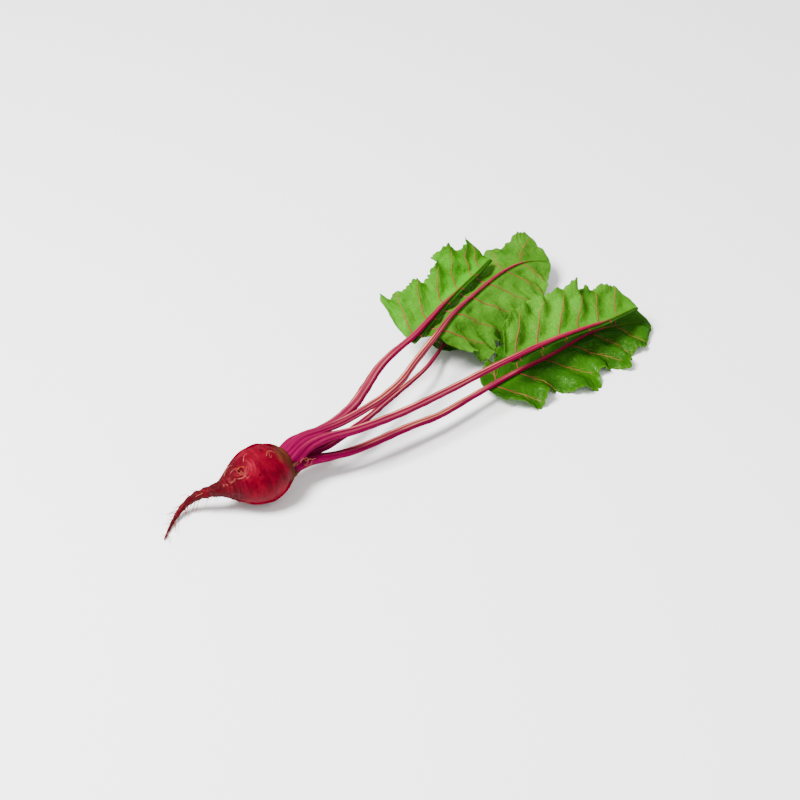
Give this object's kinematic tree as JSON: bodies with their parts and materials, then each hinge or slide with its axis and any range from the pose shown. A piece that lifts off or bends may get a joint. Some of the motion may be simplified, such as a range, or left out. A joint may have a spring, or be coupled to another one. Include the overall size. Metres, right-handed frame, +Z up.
{
  "type": "beetroot with leaves",
  "caption": "Round red root with a thin curved tail and side roots, lying on its side, with long ribbed stalks that carry waved, folded leaf blades.",
  "frame": {"origin": "middle of the small flat spot under the root, on the surface that it lies on", "axes": "+X from the root towards the leaf tips, level; +Z up; +Y to the left seen from the root"},
  "size_m": [0.4926, 0.1855, 0.0703],
  "materials": {
    "root_skin": "crimson skin with a soft sheen, brown towards the crown",
    "leaf_stalk": "moist magenta skin with paler ridges",
    "leaf_blade": "matte green, crinkled, paler on the ribbed side"
  },
  "bodies": {
    "root": {"beet_root": "root_skin", "leaf_1_stalk": "leaf_stalk", "leaf_1_blade": "leaf_blade", "leaf_2_stalk": "leaf_stalk", "leaf_2_blade": "leaf_blade", "leaf_3_stalk": "leaf_stalk", "leaf_3_blade": "leaf_blade", "leaf_4_stalk": "leaf_stalk", "leaf_4_blade": "leaf_blade", "leaf_5_stalk": "leaf_stalk", "leaf_5_blade": "leaf_blade"}
  },
  "joints": []
}
